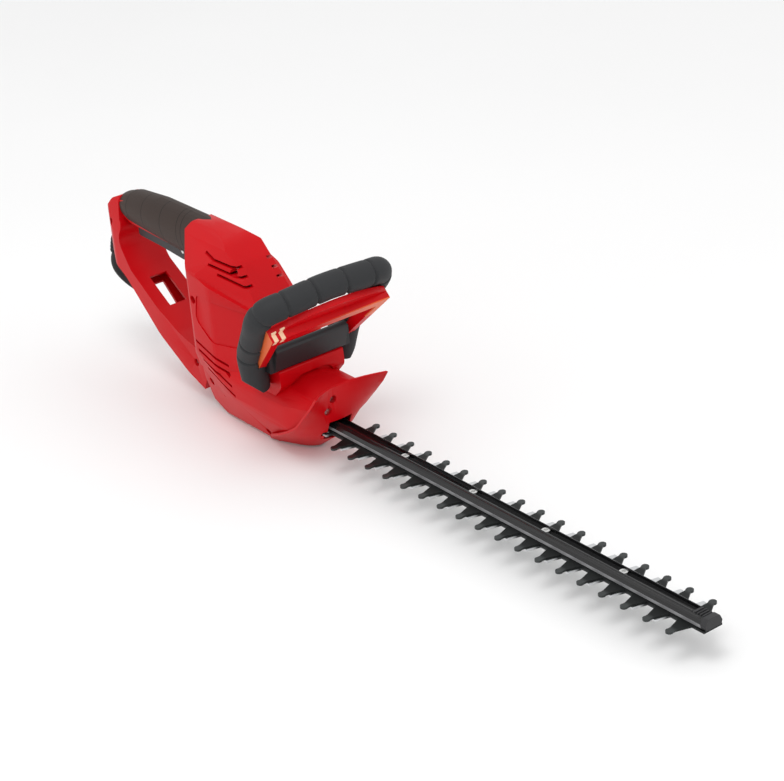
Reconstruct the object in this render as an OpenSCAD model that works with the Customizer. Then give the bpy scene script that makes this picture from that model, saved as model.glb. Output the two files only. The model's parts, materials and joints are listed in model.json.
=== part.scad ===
// Corded garden hedge trimmer: clamshell body, looped front handle with a switch bar,
// D-shaped rear handle with a trigger, fixed comb and reciprocating knife.
// Tool axes: X runs towards the blade tip, Y across, Z up.  X = 0 is the first comb tooth
// and Z = 0 the middle of the comb plate; place() moves that frame to the resting floor.

/* [Blades] */
// Number of comb teeth on each side
tooth_count = 18; // [10:1:22]
// Distance from one tooth to the next
tooth_pitch = 26; // [22:0.5:32]
// Half width over the rounded tooth ends
tooth_reach = 30.5; // [26:0.5:38]
// Half width of the comb's spine
spine_half_w = 10; // [9:0.5:11]
// Thickness of the comb plate
comb_t = 2; // [1.6:0.1:3]
// Thickness of the knife plate
knife_t = 2; // [1.6:0.1:3]
// Half width over the knife's points
knife_reach = 25; // [22:0.5:30]
// Rearward lean of the far-side teeth at their ends
far_lean = 6.6; // [0:0.2:8]
// Sliding gap between comb, knife and clamp strip
blade_gap = 0.3; // [0.2:0.05:0.6]

/* [Guide rail] */
// Width of the rail on top of the comb
rail_w = 17; // [15:0.5:19]
// Height of the rail
rail_h = 9.6; // [8:0.2:14]
// Depth of the channel in the rail's top
rail_channel = 3.6; // [2:0.2:5]
// Distance between the blade bolts
bolt_pitch = 96; // [80:2:120]
// Diameter of the blade bolts
bolt_d = 5; // [4:0.5:6]

/* [Body] */
// Half width of the body at the motor
body_half_w = 42; // [41:0.5:52]
// Wall of the plastic shells
wall = 3; // [2:0.25:4]
// Height of the comb plate above the floor
blade_z = 30; // [29:0.5:45]
// Top of the motor hood above the comb
hood_z = 162; // [160:1:185]
// Motor axis, behind the first tooth
motor_back = 146; // [142:1:150]

/* [Rear handle] */
// Half width of the rear grip
grip_half_w = 19; // [17:0.5:23]
// Half width of the lower strap
strap_half_w = 24; // [20:0.5:30]
// Half length of the extension cord slot in the strap
slot_half_l = 20; // [14:1:24]
// Half width of the extension cord slot
slot_half_w = 10; // [8:0.5:12]
// How far the rear trigger can be squeezed at its rear end
trigger_travel = 5; // [3:0.5:6]

/* [Front handle] */
// Radius of the tubular front handle
loop_r = 13; // [11:0.5:14]
// Half width between the tube centres at the top
loop_top_w = 70; // [66:1:80]
// Half width between the tube centres at the feet
loop_foot_w = 56; // [54:1:60]
// Travel of the front switch bar
bar_travel = 3.5; // [2:0.5:4]

/* [Drive] */
// Gear module
gear_module = 1; // [0.9:0.05:1.05]
// Teeth on the motor pinion
pinion_teeth = 12; // [12:1:14]
// Teeth on the large gear
gear_teeth = 66; // [60:1:66]
// Eccentric throw, half of the knife's stroke
throw = 9; // [7:0.5:10]
// Distance between the connecting rod's two eyes
rod_l = 54; // [53:0.5:56]
// Radius of the motor shaft
shaft_r = 4; // [3:0.25:5]

/* [Cord] */
// Diameter of the mains cord
cord_d = 8; // [7:0.5:10]
// Spacing of the plug's two pins
pin_spacing = 19; // [18:0.1:20]
// Radius of the plug's pins
pin_r = 2.4; // [2.2:0.05:2.5]
// Length of the plug's pins
pin_l = 19; // [17:0.5:20]

/* [Hidden] */

// The object's ends along X, in tool axes
tip_x = (tooth_count - 1) * tooth_pitch + 22;
rear_x = -400;
// Running clearance of a shaft in its hole
run = 0.05;
// Gap between curved faces of different bodies
gap = 0.4;
// Facets of round parts
$fn = 48;

// Heights of the blade stack
comb_top = comb_t / 2;
knife_top = -comb_t / 2 - blade_gap;
knife_z = knife_top - knife_t;
strip_top = knife_z - blade_gap;
strip_t = 2;
strip_z = strip_top - strip_t;
rail_z = comb_top;
rail_top = rail_z + rail_h;

// Drive train heights and places
motor_x = -motor_back;
gear_dist = gear_module * (pinion_teeth + gear_teeth) / 2;
gear_x = motor_x + gear_dist;
pressure_angle = 25;
gear_z = comb_top + 1.5;
gear_w = 8;
rod_t = 4;
rod_z = knife_z - 2 - rod_t;
ecc_r = throw + shaft_r + 3;
hub_r = shaft_r + 2;
rod_end_x = gear_x + rod_l;
rod_pin_r = 3;
plate_z = gear_z + gear_w + 1.5;
plate_t = 4;
cover_t = 3;
cover_z = rod_z - 1.5 - cover_t;
bearing_r = 11;
bearing_w = 7;
front_bearing_z = plate_z + 0.5;
fan_z = front_bearing_z + bearing_w + 2;
fan_h = 6;
stator_z = fan_z + fan_h + 12;
stator_h = 42;
stator_r = 32;
bore_r = 19.5;
comm_z = stator_z + stator_h + 9;
comm_h = 13;
comm_r = 11;
rear_bearing_z = comm_z + comm_h + 5;
shaft_top = rear_bearing_z + bearing_w + 1;

// Blade bolts along the rail
first_bolt = 73;
bolt_xs = [for (x = [first_bolt : bolt_pitch : tip_x - 30]) x];

// ---------------------------------------------------------------- helpers

// Moves tool axes to the resting frame
module place() translate([-(tip_x + rear_x) / 2, 0, blade_z]) children();

// Extrudes an X-Z outline to both sides of the middle plane
module side_slab(half_w) rotate([90, 0, 0]) linear_extrude(2 * half_w, center = true) children();

// Extrudes a Y-Z outline along X
module front_slab(x0, x1) translate([x0, 0, 0]) rotate([90, 0, 90]) linear_extrude(x1 - x0) children();

// Cylinder across the tool, centred on the middle plane
module cross_pin(r, half_l) rotate([90, 0, 0]) cylinder(r = r, h = 2 * half_l, center = true);

function unit(v) = v / norm(v);
function left_of(v) = [-v[1], v[0]];

// Arc that rounds the corner b between a and c
function corner(a, b, c, r, n) =
  let (u = unit(b - a), v = unit(c - b), s = cross(u, v) >= 0 ? 1 : -1,
       phi = acos(max(-1, min(1, u * v))))
  r <= 0 || phi < 2 ? [b] :
  let (o = b - u * r * tan(phi / 2) + s * r * left_of(u))
  [for (k = [0 : n]) o + r * (u * sin(phi * k / n) - s * left_of(u) * cos(phi * k / n))];

// Closed outline from [x, y, radius] corners
function outline(p, n = 4) =
  [for (i = [0 : len(p) - 1])
    let (a = p[(i + len(p) - 1) % len(p)], b = p[i], c = p[(i + 1) % len(p)])
    each corner([a[0], a[1]], [b[0], b[1]], [c[0], c[1]], b[2], n)];

// The same corners moved inwards by g, for a counter-clockwise outline
function inset(p, g) =
  [for (i = [0 : len(p) - 1])
    let (a = p[(i + len(p) - 1) % len(p)], b = p[i], c = p[(i + 1) % len(p)],
         u = unit([b[0] - a[0], b[1] - a[1]]), v = unit([c[0] - b[0], c[1] - b[1]]),
         n = (left_of(u) + left_of(v)) / (1 + left_of(u) * left_of(v)))
    [b[0] + g * n[0], b[1] + g * n[1], max(0, b[2] - g)]];

// Corners mirrored to the other side, for outlines that are symmetric about Y = 0
function both_sides(p) =
  concat(p, [for (i = [len(p) - 1 : -1 : 0]) [-p[i][0], p[i][1], p[i][2]]]);

// ---------------------------------------------------------------- body outlines

// Motor hood and tower, seen from the side
tower_side = [
  [-206, 20, 0], [-70, 20, 0], [-72, 58, 6], [-92, 84, 30], [-116, 108, 40], [-144, 139, 30],
  [-166, hood_z - 7, 50], [-205, hood_z, 60], [-228, hood_z - 2, 6], [-233, 148, 20], [-237, 114, 8],
  [-226, 100, 20], [-206, 78, 20]
];
// Tower from above: a blunt nose at the rear, flat sides, narrower front
tower_plan = [
  [-236, -15, 6], [-202, -body_half_w, 18], [-166, -body_half_w, 30], [-112, -27, 20], [-68, -24, 8],
  [-68, 24, 8], [-112, 27, 20], [-166, body_half_w, 30], [-202, body_half_w, 18], [-236, 15, 6]
];
// Tower from the front: upright sides, sloping shoulders, crowned top
tower_front = both_sides([
  [body_half_w, 10, 0], [body_half_w, 124, 6], [21, hood_z - 12, 8], [8, hood_z, 16]
]);
// The sloping shoulders: a point on the plane, its tilt and toe-in, and the step it starts from
shoulder_at = [-149, -21.5, hood_z - 23];
shoulder_tilt = 69;
shoulder_toe = 21;
shoulder_step = [[-260, 146], [-60, 85]];
// Lower body and gearbox cowl from the side
lower_side = [
  [-208, -22, 0], [-178, -blade_z, 20], [-104, -blade_z, 20], [-60, -24, 0], [-16, -12, 0],
  [-18, 42, 0], [-64, 50, 4], [-208, 50, 0]
];
lower_front = both_sides([
  [25, -blade_z, 8], [body_half_w - 0.5, 8, 14], [body_half_w - 0.5, 28, 10],
  [29, 40, 8], [8, 48, 14]
]);
lower_plan = both_sides([[28, -212, 20], [body_half_w, -192, 20], [body_half_w, -66, 30], [34, -10, 0]]);
// Strap of the rear handle from the side: outer edge forwards, inner edge back
strap_side = [
  [rear_x, 111, 6], [rear_x, 101, 8], [-388, 86, 20], [-352, 68, 60], [-296, 20, 80], [-250, -6, 30], [-222, -16, 0],
  [-206, 20, 0], [-260, 34, 40], [-295, 50, 60], [-340, 78, 20], [-358, 104, 14], [-350, 122, 10],
  [-356, 128, 0], [-362, 150, 0], [-373, 146, 10], [-396, 117, 20]
];
// Rear cap from above
rear_plan = [
  [rear_x, -6, 5], [-386, -14, 10], [-368, -strap_half_w + 1, 20], [-300, -strap_half_w, 0], [-190, -strap_half_w, 0],
  [-190, strap_half_w, 0], [-300, strap_half_w, 0], [-368, strap_half_w - 1, 20], [-386, 14, 10], [rear_x, 6, 5]
];
// Spine of the rear grip that the soft cover is moulded on
grip_side = [
  [-370, 134, 6], [-345, 126, 6], [-230, 122, 0], [-226, 154, 0], [-300, 153, 40], [-356, 147, 20], [-368, 144, 4]
];

module shoulder_cut(g)
  for (s = [0, 1]) mirror([0, s, 0]) intersection() {
    translate(shoulder_at) rotate([shoulder_tilt, 0, shoulder_toe])
      translate([-150, -150, -g]) cube([300, 300, 80]);
    side_slab(body_half_w + 10) polygon([
      shoulder_step[0] - [0, g], shoulder_step[1] - [0, g], shoulder_step[1] + [0, 90], shoulder_step[0] + [0, 90]]);
  }

module tower(g)
  difference() {
    intersection() {
      side_slab(body_half_w + 5) polygon(outline(inset(tower_side, g)));
      translate([0, 0, -blade_z]) linear_extrude(hood_z + 2 * blade_z) polygon(outline(inset(tower_plan, g)));
      front_slab(-260, -40) polygon(outline(inset(tower_front, g)));
    }
    shoulder_cut(g);
    heel_cut(g);
  }

// Cut that draws the lower rear corners in: a point on the plane, its tilt and toe-in
heel_at = [-198, -42, 42];
heel_tilt = 105.4;
heel_toe = -8.7;
module heel_cut(g)
  for (s = [0, 1]) mirror([0, s, 0]) translate(heel_at) rotate([heel_tilt, 0, heel_toe])
    translate([-60, -150, -g]) cube([240, 300, 60]);

module lower_body(g)
  difference() {
    lower_block(g);
    heel_cut(g);
  }

module lower_block(g)
  intersection() {
    side_slab(body_half_w + 5) polygon(outline(inset(lower_side, g)));
    front_slab(-300, -10) polygon(outline(inset(lower_front, g)));
    translate([0, 0, -blade_z]) linear_extrude(100) rotate(-90) mirror([1, 0]) polygon(outline(inset(lower_plan, g)));
  }

// Strap and rear cap from the front: the cap draws in towards the grip
strap_front = both_sides([[strap_half_w, -40, 0], [strap_half_w, 112, 14], [15, 146, 12], [6, 154, 8]]);
module strap(g)
  intersection() {
    side_slab(strap_half_w + 5) polygon(outline(inset(strap_side, g)));
    front_slab(rear_x - 5, -180) polygon(outline(inset(strap_front, g)));
    translate([0, 0, -blade_z]) linear_extrude(240) polygon(outline(inset(rear_plan, g)));
  }

core_half_w = grip_half_w - 5;
module grip_core(g)
  side_slab(core_half_w - g) polygon(outline(inset(grip_side, g)));

// Saddle under the front handle: two cheeks and a bridge that carries the crossbar
saddle_half_w = 37;
module saddle()
  difference() {
    side_slab(saddle_half_w) polygon(outline([
      [-100, 20, 0], [-78, 28, 4], [-62.5, 44, 8], [-63.5, 59.5, 2], [-100, 70, 0]]));
    front_slab(-66, -50) polygon(outline([[-27, 20, 0], [27, 20, 0], [24, 50, 12], [-24, 50, 12]]));
  }

// Body screws: X and Z
screw_places = [[-145, 132], [-192, 6], [-104, -19], [-194, 96], [-232, 10], [-372, 122]];
screw_r = 1.9;
head_r = 3.8;

// Places of the extension cord slot, along the strap's flat
slot_x = -310;
slot_z = 60;
slot_tilt = 32;

module cord_slot()
  translate([slot_x, 0, slot_z]) rotate([0, slot_tilt, 0])
    cube([2 * slot_half_l, 2 * slot_half_w, 90], center = true);

// Side vents: three bent slots on the hood's shoulder and four long ones low down
module vent_run(p, w)
  for (s = [-1, 1]) translate([0, s * (vent_y + 30), 0]) side_slab(30) polygon(concat(
    [for (q = p) [q[0], q[1] - w / 2]], [for (i = [len(p) - 1 : -1 : 0]) [p[i][0], p[i][1] + w / 2]]));
vent_y = 14;
hood_vents = [
  [[-185, 143.4], [-149, 136.6], [-128, 137.6]],
  [[-174, 135.6], [-142, 128.8], [-114, 129.6]],
  [[-162, 128], [-132, 121.2], [-102, 122]]
];
low_vents = [for (k = [0 : 3]) [[-198 + 4 * k, 52 - 9 * k], [-150 + 4 * k, 38 - 9 * k]]];
vent_w = 2.6;

// The shallow panel on each side
panel_side = [[-187, 104, 6], [-193, 76, 10], [-168, 58, 20], [-120, 60, 10], [-110, 98, 6]];
panel_depth = 1;

// Bearing seats, motor cradle and screw bosses inside the body
module body_ribs() {
  intersection() {
    tower(wall - 0.5);
    union() {
      for (z = [stator_z + 4, stator_z + stator_h - 7])
        translate([motor_x, 0, z]) cube([2 * stator_r + 30, 2 * body_half_w, 3], center = true);
      translate([motor_x, 0, rear_bearing_z + bearing_w / 2])
        cube([2 * stator_r + 30, 2 * body_half_w, bearing_w - 1], center = true);
    }
  }
  intersection() {
    union() { tower(wall - 0.5); lower_body(wall - 0.5); strap(wall - 0.5); }
    for (s = screw_places) translate([s[0], 0, s[1]]) cross_pin(5.5, body_half_w);
  }
  // ribs over the trigger spring and the rear switch
  intersection() {
    grip_core(1);
    union() {
      translate([spring_x - 5, -6, spring_z + spring_h]) cube([10, 12, 30]);
      translate([switch_x - 5, -6, 145.5]) cube([10, 12, 30]);
    }
  }
  // bosses of the front cover's screws
  intersection() {
    lower_body(wall - 0.5);
    for (c = cover_screw_at) translate([-58, c[0] - 4.5, c[1] - 4.5]) cube([40, 9, 30]);
  }
}

module gearbox_bay() {
  translate([-170, -34.4, -comb_top - 1]) cube([120, 68.8, front_bearing_z + bearing_w + comb_top + 2]);
  translate([-170, -29, cover_z - 0.1]) cube([120, 58, -comb_top - cover_z]);
  translate([-51, -frame_half_y - 2, cover_z - 0.1]) cube([31, 2 * frame_half_y + 4, rail_top + 2 - cover_z]);
}

module housing_solid()
  difference() {
    union() {
      difference() {
        union() { tower(0); lower_body(0); strap(0); grip_core(0); saddle(); }
        tower(wall);
        lower_body(wall);
        intersection() { strap(wall); translate([-420, -50, -60]) cube([132, 100, 240]); }
        intersection() { grip_core(2.5); translate([-380, -50, 60]) cube([160, 100, 160]); }
        translate([-246, -core_half_w + 2.5, 126]) cube([30, 2 * core_half_w - 5, 24]);
      }
      body_ribs();
    }
    // room for the stator, bearing, shaft, fan and brushes
    translate([motor_x, 0, stator_z - 14]) cylinder(r = stator_r + 0.1, h = stator_h + 24);
    translate([motor_x, 0, stator_z - 14]) cylinder(r = bearing_r + run, h = shaft_top + 15 - stator_z);
    translate([motor_x, 0, fan_z - 1]) cylinder(r = 37, h = fan_h + 4);
    gearbox_bay();
    cover_room(cover_skin);
    cover_cups(0.1);
    cord_slot();
    // vents, panels and the finger side of the trigger
    for (p = concat(hood_vents, low_vents)) vent_run(p, vent_w);
    difference() {
      side_slab(body_half_w + 5) polygon(outline(panel_side));
      tower(panel_depth);
    }
    trigger_pocket();
    pin_seat();
    // screws
    for (s = screw_places) translate([s[0], 0, s[1]]) {
      cross_pin(screw_r + run, body_half_w + 5);
      translate([0, -body_half_w - 5 - 10, 0]) cross_pin(head_r + 0.3, screw_head_depth(s));
    }
    for (c = cover_screw_at) translate([-60, c[0], c[1]]) rotate([0, 90, 0])
      cylinder(r = screw_r, h = 50);
    gland_hole();
    handle_sockets();
  }
// Half length of a head recess that starts 10 mm outside the body
function screw_head_depth(s) = 10 + body_half_w + 5 - screw_head_y(s);
function screw_head_y(s) =
  s[0] < -300 ? core_half_w - 1 : s[0] < -200 ? strap_half_w - 5 : s[1] > 110 ? 15 : s[1] < 20 ? 23 : 32;

module housing_left() color([0.86, 0.02, 0.06]) place()
  intersection() { housing_solid(); translate([-500, 0, -100]) cube([600, 100, 400]); }

module housing_right() color([0.86, 0.02, 0.06]) place()
  intersection() { housing_solid(); translate([-500, -100, -100]) cube([600, 100, 400]); }

// ---------------------------------------------------------------- front cover

// Rows of the cover's face from its top edge down: middle [x, z], then edge [x, half width, z]
cover_rows = [
  [-20, 49, 0, 41.5, 54], [-20.5, 38, -10, 42.2, 41], [-21.5, 25, -23, 42.6, 27],
  [-23, 12, -36, 42.4, 13], [-27, 0, -53, 41.6, 2], [-34, -10, -74, 39, -9], [-46, -18, -96, 32, -20],
  [-60, -28, -108, 26, -29]
];
cover_skin = 3;
function cover_point(v, u, back) =
  let (r = cover_rows[v], w = u * u, drop = v / (len(cover_rows) - 1))
  [r[0] + (r[2] - r[0]) * w - back * (1 - 0.5 * drop), u * (r[3] - 0.25 * back * drop),
   r[1] + (r[4] - r[1]) * w + back * 0.7 * drop];
cover_u = [-1 : 0.125 : 1];
module cover_sheet(front, back) {
  us = [for (u = cover_u) u];
  n = len(us);
  rows = len(cover_rows);
  pts = concat(
    [for (v = [0 : rows - 1]) for (u = us) cover_point(v, u, front)],
    [for (v = [0 : rows - 1]) for (u = us) cover_point(v, u, back)]);
  m = n * rows;
  quads = concat(
    [for (v = [0 : rows - 2]) for (i = [0 : n - 2])
      [v * n + i, v * n + i + 1, (v + 1) * n + i + 1, (v + 1) * n + i]],
    [for (v = [0 : rows - 2]) for (i = [0 : n - 2])
      [m + v * n + i, m + (v + 1) * n + i, m + (v + 1) * n + i + 1, m + v * n + i + 1]],
    [for (i = [0 : n - 2]) [i + 1, i, m + i, m + i + 1]],
    [for (i = [0 : n - 2]) let (a = (rows - 1) * n + i) [a, a + 1, m + a + 1, m + a]],
    [for (v = [0 : rows - 2]) let (a = v * n) [a, a + n, m + a + n, m + a]],
    [for (v = [0 : rows - 2]) let (a = v * n + n - 1) [a + n, a, m + a, m + a + n]]);
  polyhedron(points = pts, faces = [for (q = quads) each [[q[0], q[1], q[2]], [q[0], q[2], q[3]]]]);
}

// Everything in front of the cover's back face
module cover_room(back) cover_sheet(-80, back);

// Y and Z of the guard's screws
cover_screw_at = [[-15, 25.6], [-9.4, 37]];
// Where the heads sit, and the back of the cups that hold them
cover_seat_x = -27;
cup_x = -29;
cup_r = 5.6;
module cover_cups(grow)
  for (c = cover_screw_at) translate([cup_x - grow, c[0], c[1]]) rotate([0, 90, 0]) cylinder(r = cup_r + grow, h = 6 + grow);
module front_cover() color([0.86, 0.02, 0.06]) place()
  difference() {
    union() {
      cover_sheet(0, cover_skin);
      cover_cups(0);
    }
    // passage for the rail above and the knife's wider frame below
    translate([-60, -spine_half_w - 3, rod_z]) cube([60, 2 * spine_half_w + 6, rail_top + 2 - rod_z]);
    translate([-60, -frame_half_y - 1.5, knife_z - 1]) cube([60, 2 * frame_half_y + 3, comb_top + 1 - knife_z]);
    for (c = cover_screw_at) translate([0, c[0], c[1]]) rotate([0, 90, 0]) {
      translate([0, 0, -40]) cylinder(r = screw_r + run, h = 40);
      translate([0, 0, cover_seat_x]) cylinder(r = head_r + 0.3, h = 26);
    }
  }

// ---------------------------------------------------------------- rear handle parts

// Thin oval slice of the grip at x, between two heights
module grip_slice(x, z0, z1, w, lean)
  translate([x, 0, (z0 + z1) / 2]) rotate([0, lean, 0]) resize([2, 2 * w, z1 - z0]) rotate([0, 90, 0])
    cylinder(r = 10, h = 2, center = true, $fn = 28);

trigger_half_w = grip_half_w - 10;
trigger_pivot = [-250, 121];
module trigger_pocket()
  side_slab(trigger_half_w + 1)
    polygon([[-342, 96], [-242, 96], [-242, 127], [-262, 131], [-342, 133]]);

module rear_grip_cover() color([0.29, 0.25, 0.24]) place()
  difference() {
    union() {
      hull() {
        grip_slice(-366, 127, 152, grip_half_w - 5, 20);
        grip_slice(-346, 121, 157, grip_half_w - 1.5, 6);
        grip_slice(-300, 118, 161, grip_half_w, 2);
      }
      hull() {
        grip_slice(-300, 118, 161, grip_half_w, 2);
        grip_slice(-212, 113, 161.5, grip_half_w + 1, 0);
      }
    }
    grip_core(-0.02);
    tower(-0.05);
    strap(-0.05);
    trigger_pocket();
    pin_seat();
    for (s = screw_places) translate([s[0], -30, s[1]]) cross_pin(head_r + 0.3, 30);
  }

module rear_trigger() color([0.07, 0.07, 0.07]) place()
  difference() {
    side_slab(trigger_half_w)
      polygon(outline([[-338, 113, 3], [-300, 112, 20], [-256, 109, 4], [-243.5, 116, 4], [-244, 125, 4],
        [-262, 126, 4], [-338, 126, 3]]));
    translate([trigger_pivot[0], 0, trigger_pivot[1]]) cross_pin(2 + run, trigger_half_w + 1);
    translate([spring_x, 0, 122.5]) cylinder(r = 4, h = 10);
  }

module trigger_pin() color("silver") place()
  pin_seat();
module pin_seat() translate([trigger_pivot[0], 0, trigger_pivot[1]]) cross_pin(2, core_half_w - 0.5);

// A coil spring standing along Z
module coil(r, wire, h, turns) {
  n = turns * 10;
  rise = h - 2 * wire;
  path = [for (k = [0 : n]) [r * cos(36 * k), r * sin(36 * k), wire + rise * k / n]];
  sweep(path, wire / 2, 6);
}
spring_x = -280;
spring_z = 122.8;
spring_h = 16;
module trigger_spring() color("silver") place()
  translate([spring_x, 0, spring_z]) coil(2.8, 0.8, spring_h, 5);

switch_x = -309;
module rear_switch() color([0.1, 0.1, 0.12]) place()
  difference() {
    translate([switch_x - 14, -6.5, 133.5]) cube([28, 13, 12]);
    translate([switch_x, 0, 130]) cylinder(r = 2.2, h = 10);
  }
module rear_plunger() color([0.8, 0.1, 0.1]) place()
  translate([switch_x, 0, 126.3]) cylinder(r = 1.9, h = 7.5);

module capacitor() color([0.85, 0.8, 0.3]) place()
  translate([-196, -8, 128]) cube([20, 14, 16]);

// ---------------------------------------------------------------- front handle

// Tube path on the left side, foot to the middle of the top bar
loop_path = [
  [-85.5, loop_foot_w - 6.5, 43], [-84, loop_foot_w - 5.5, 52], [-78.5, loop_foot_w + 0.5, 78.5],
  [-66, loop_foot_w + 4.5, 97], [-53, loop_top_w - 6, 114.5], [-41, loop_top_w - 2.5, 130],
  [-33, loop_top_w - 7, 139.5], [-28.5, loop_top_w - 22, 143], [-27, 17, 145.5], [-27, 0, 146]
];
loop_full = concat(loop_path, [for (i = [len(loop_path) - 2 : -1 : 0])
  [loop_path[i][0], -loop_path[i][1], loop_path[i][2]]]);

// Catmull-Rom point between b and c
function blend4(a, b, c, d, t) =
  0.5 * (2 * b + (c - a) * t + (2 * a - 5 * b + 4 * c - d) * t * t + (3 * b - a - 3 * c + d) * t * t * t);
function smooth(p, n) =
  concat([for (i = [0 : len(p) - 2]) for (k = [0 : n - 1])
    let (a = i == 0 ? 2 * p[0] - p[1] : p[i - 1], d = i == len(p) - 2 ? 2 * p[i + 1] - p[i] : p[i + 2])
    blend4(a, p[i], p[i + 1], d, k / n)], [p[len(p) - 1]]);
function along(p, i) = unit(p[min(i + 1, len(p) - 1)] - p[max(i - 1, 0)]);
// Side directions carried from ring to ring without twist
function carry(n, t) = unit(n - (n * t) * t);
function sides(p) = [for (i = 0, n = carry(abs(along(p, 0)[1]) < 0.9 ? [0, 1, 0] : [1, 0, 0], along(p, 0)); i < len(p);
  i = i + 1, n = i < len(p) ? carry(n, along(p, i)) : n) n];
module sweep(p, r, k) {
  s = sides(p);
  n = len(p);
  pts = [for (i = [0 : n - 1]) let (t = along(p, i), b = cross(t, s[i]))
    for (j = [0 : k - 1]) p[i] + r * (cos(360 * j / k) * s[i] + sin(360 * j / k) * b)];
  skin = [for (i = [0 : n - 2]) for (j = [0 : k - 1]) let (a = i * k + j, b = i * k + (j + 1) % k)
    each [[a, a + k, b + k], [a, b + k, b]]];
  polyhedron(points = pts, faces = concat(skin, [[for (j = [0 : k - 1]) j]],
    [[for (j = [k - 1 : -1 : 0]) (n - 1) * k + j]]));
}

// Frame of the switch bar: x across, y up along its lean, z forwards out of the loop
bar_pivot = [-85, 62];
bar_lean = 44.2;
module bar_frame()
  multmatrix([[0, cos(bar_lean), sin(bar_lean), bar_pivot[0]], [1, 0, 0, 0],
    [0, sin(bar_lean), -cos(bar_lean), bar_pivot[1]], [0, 0, 0, 1]]) children();
bar_half_t = 6.5;
// Clearance round the switch bar in the loop
bar_room = 1;
bar_w = loop_top_w - 3;
bar_foot_w = loop_foot_w - 4.7;
bar_top = 81.5;
bar_arch = 17;
module bar_outline(grow, arch)
  polygon(concat(
    [[-bar_foot_w - grow, -5 - grow], [-bar_foot_w + 8.3 + grow, -5 - grow], [-bar_w + 11 + grow, bar_top - 11.5 - grow],
     [bar_w - 11 - grow, bar_top - 11.5 - grow], [bar_foot_w - 8.3 - grow, -5 - grow], [bar_foot_w + grow, -5 - grow],
     [bar_w + grow, bar_top + grow]],
    [for (k = [1 : 11]) let (u = 1 - k / 6) [u * (bar_w + grow), bar_top + grow + arch * (1 - u * u)]],
    [[-bar_w - grow, bar_top + grow]]));
module bar_body(grow, back)
  bar_frame() {
    translate([0, 0, -bar_half_t - back]) linear_extrude(2 * bar_half_t + back + grow) bar_outline(grow, 0);
    translate([0, 0, -bar_half_t - back]) linear_extrude(6 + back) bar_outline(grow, bar_arch);
  }

module switch_bar() color([0.86, 0.02, 0.06]) place()
  difference() {
    bar_body(0, 0);
    translate([bar_pivot[0], 0, bar_pivot[1]]) cross_pin(bar_pin_r + run, bar_foot_w + 5);
  }

bar_pin_r = 2.5;
module bar_pins() color("silver") place()
  for (s = [-1, 1])
    translate([bar_pivot[0], s * (bar_foot_w - 4), bar_pivot[1]]) cross_pin(bar_pin_r, 7);

front_switch_at = [52.5, 30];
module front_switch_box(grow)
  bar_frame() translate([front_switch_at[0] - 3.5 - grow, front_switch_at[1] - 8 - grow, -17 - grow])
    cube([7 + 2 * grow, 16 + 2 * grow, 6 + 2 * grow]);
module front_switch() color([0.1, 0.1, 0.12]) place()
  difference() {
    front_switch_box(0);
    bar_frame() translate([front_switch_at[0], front_switch_at[1], -15]) cylinder(r = 1.5, h = 10);
  }
module front_plunger() color([0.8, 0.1, 0.1]) place()
  bar_frame() translate([front_switch_at[0], front_switch_at[1], -13]) cylinder(r = 1.2, h = 6.2);

bar_spring_y = 28;
bar_spring_x = -32;
bar_spring_z = 128;
module bar_spring() color("silver") place()
  for (s = [-1, 1]) translate([bar_spring_x, s * bar_spring_y, bar_spring_z]) coil(2, 0.7, 12, 4);

handle_screw = [-88, 45];
handle_screw_r = 2.2;
module handle_tube() sweep(smooth(loop_full, 4), loop_r, 16);
module handle_loop() color([0.2, 0.2, 0.2]) place()
  difference() {
    handle_tube();
    bar_body(bar_room, bar_travel + 0.8);
    front_switch_box(0.05);
    bar_frame() translate([front_switch_at[0], front_switch_at[1], -12]) cylinder(r = 1.7, h = 8);
    for (s = [-1, 1]) {
      // the foot's outer corner
      translate([-85, s * 66, 56]) rotate([s * 45, 0, 0]) translate([-20, -30, -30]) cube([40, 60, 30]);
      translate([bar_pivot[0], s * (bar_foot_w - 4), bar_pivot[1]]) cross_pin(bar_pin_r, 7);
      translate([bar_spring_x, s * bar_spring_y, bar_spring_z - 3]) cylinder(r = 3.6, h = 15.2);
      translate([handle_screw[0], s * 60, handle_screw[1]]) cross_pin(handle_screw_r + run, 30);
      translate([handle_screw[0], s * 61, handle_screw[1]]) cross_pin(5, 15);
      translate([-110, s > 0 ? 0 : -saddle_half_w, 20]) cube([50, saddle_half_w, 55]);
    }
  }

module handle_crossbar() color([0.13, 0.13, 0.14]) place()
  difference() {
    union() {
      side_slab(41) polygon(outline([[-71.5, 61, 0], [-64, 60, 3], [-57.5, 84, 4], [-62, 88, 3], [-69, 84, 0]]));
      for (s = [-1, 1]) translate([-86, s > 0 ? 37.5 : -46, 61]) cube([22, 8.5, 20]);
    }
    handle_tube();
    saddle();
    bar_body(bar_room, bar_travel + 0.8);
    translate([bar_pivot[0], 0, bar_pivot[1]]) cross_pin(bar_pin_r + run, 80);
  }

module handle_screws() color("silver") place()
  for (s = [-1, 1]) translate([handle_screw[0], 0, handle_screw[1]]) {
    translate([0, s * 38, 0]) cross_pin(handle_screw_r, 10);
    difference() {
      translate([0, s * 47.9, 0]) cross_pin(4.4, 1.9);
      translate([0, s * 49.9, 0]) cross_pin(2, 1.6);
    }
  }

module handle_sockets()
  for (s = [-1, 1]) translate([handle_screw[0], s * 40, handle_screw[1]]) cross_pin(handle_screw_r + run, 13);

// ---------------------------------------------------------------- cord

cord_start = [-406, 0, 74];
gland_l = 30;
gland_tilt = 31;
gland_at = [cord_start[0] + gland_l * sin(gland_tilt), cord_start[2] + gland_l * cos(gland_tilt)];
gland_r = 7;
module gland_frame() translate([gland_at[0], 0, gland_at[1]]) rotate([0, 180 + gland_tilt, 0]) children();
module gland_hole() gland_frame() translate([0, 0, -12]) cylinder(r = gland_r - 1.5 + run, h = 40);

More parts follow.
